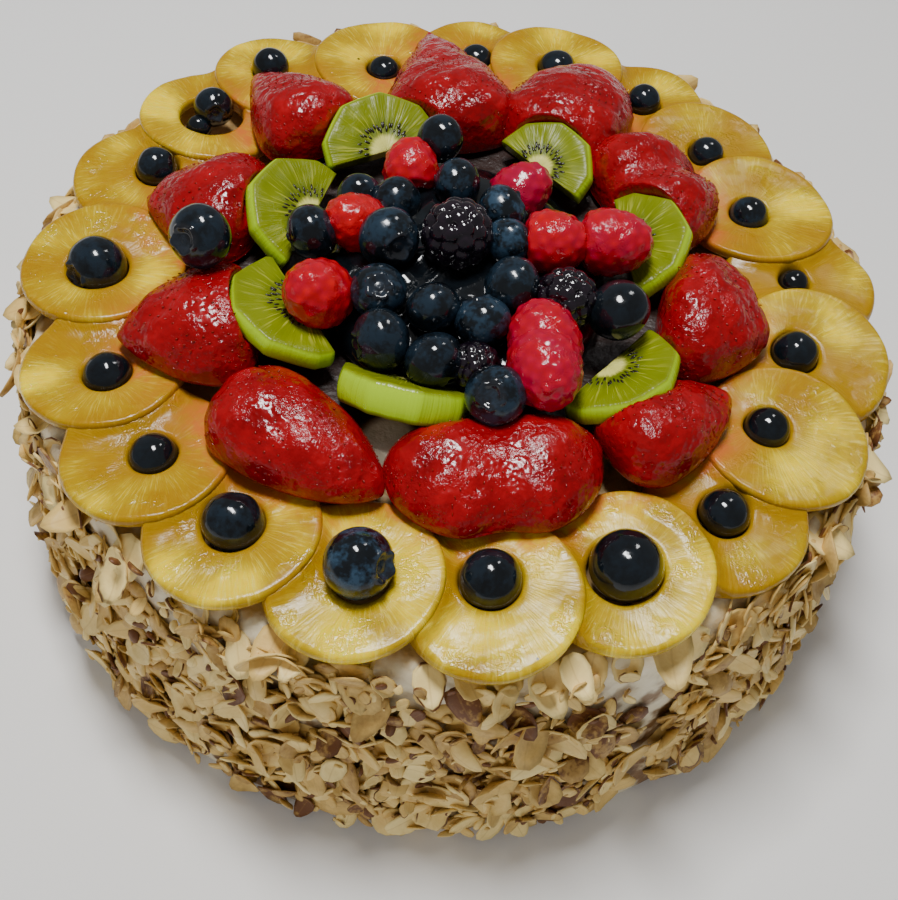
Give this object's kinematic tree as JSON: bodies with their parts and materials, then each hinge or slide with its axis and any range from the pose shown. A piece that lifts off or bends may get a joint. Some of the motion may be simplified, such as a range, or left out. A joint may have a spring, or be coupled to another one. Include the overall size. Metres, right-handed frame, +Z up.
{
  "type": "fresh fruit cake",
  "caption": "Round layer cake with an almond-flaked side, a wreath of lapped pineapple rings, and halved strawberries, kiwi and a heap of berries on top.",
  "frame": {"origin": "centre of the flat underside", "axes": "+Z up; the side that the reference view shows faces -Y"},
  "size_m": [0.3175, 0.3176, 0.1517],
  "materials": {
    "cream": "whipped cream with almond flakes",
    "pineapple": "glazed, translucent",
    "blueberry": "glazed skin",
    "strawberry": "glazed, seeded",
    "kiwi": "moist cut flesh",
    "berries": "glazed berries"
  },
  "bodies": {
    "root": {"cream_cake": "cream", "pineapple_ring_01": "pineapple", "pineapple_ring_02": "pineapple", "pineapple_ring_03": "pineapple", "pineapple_ring_04": "pineapple", "pineapple_ring_05": "pineapple", "pineapple_ring_06": "pineapple", "pineapple_ring_07": "pineapple", "pineapple_ring_08": "pineapple", "pineapple_ring_09": "pineapple", "pineapple_ring_10": "pineapple", "pineapple_ring_11": "pineapple", "pineapple_ring_12": "pineapple", "pineapple_ring_13": "pineapple", "pineapple_ring_14": "pineapple", "pineapple_ring_15": "pineapple", "pineapple_ring_16": "pineapple", "pineapple_ring_17": "pineapple", "pineapple_ring_18": "pineapple", "pineapple_ring_19": "pineapple", "pineapple_ring_20": "pineapple", "ring_blueberry_01": "blueberry", "ring_blueberry_02": "blueberry", "ring_blueberry_03": "blueberry", "ring_blueberry_04": "blueberry", "ring_blueberry_05": "blueberry", "ring_blueberry_06": "blueberry", "ring_blueberry_07": "blueberry", "ring_blueberry_08": "blueberry", "ring_blueberry_09": "blueberry", "ring_blueberry_10": "blueberry", "ring_blueberry_11": "blueberry", "ring_blueberry_12": "blueberry", "ring_blueberry_13": "blueberry", "ring_blueberry_14": "blueberry", "ring_blueberry_15": "blueberry", "ring_blueberry_16": "blueberry", "ring_blueberry_17": "blueberry", "ring_blueberry_18": "blueberry", "ring_blueberry_19": "blueberry", "ring_blueberry_20": "blueberry", "strawberry_half_01": "strawberry", "strawberry_half_02": "strawberry", "strawberry_half_03": "strawberry", "strawberry_half_04": "strawberry", "strawberry_half_05": "strawberry", "strawberry_half_06": "strawberry", "strawberry_half_07": "strawberry", "strawberry_half_08": "strawberry", "strawberry_half_09": "strawberry", "strawberry_half_10": "strawberry", "kiwi_half_slice_01": "kiwi", "kiwi_half_slice_02": "kiwi", "kiwi_half_slice_03": "kiwi", "kiwi_half_slice_04": "kiwi", "kiwi_half_slice_05": "kiwi", "kiwi_half_slice_06": "kiwi", "kiwi_half_slice_07": "kiwi", "berry_heap": "berries", "loose_blueberry": "blueberry"}
  },
  "joints": []
}
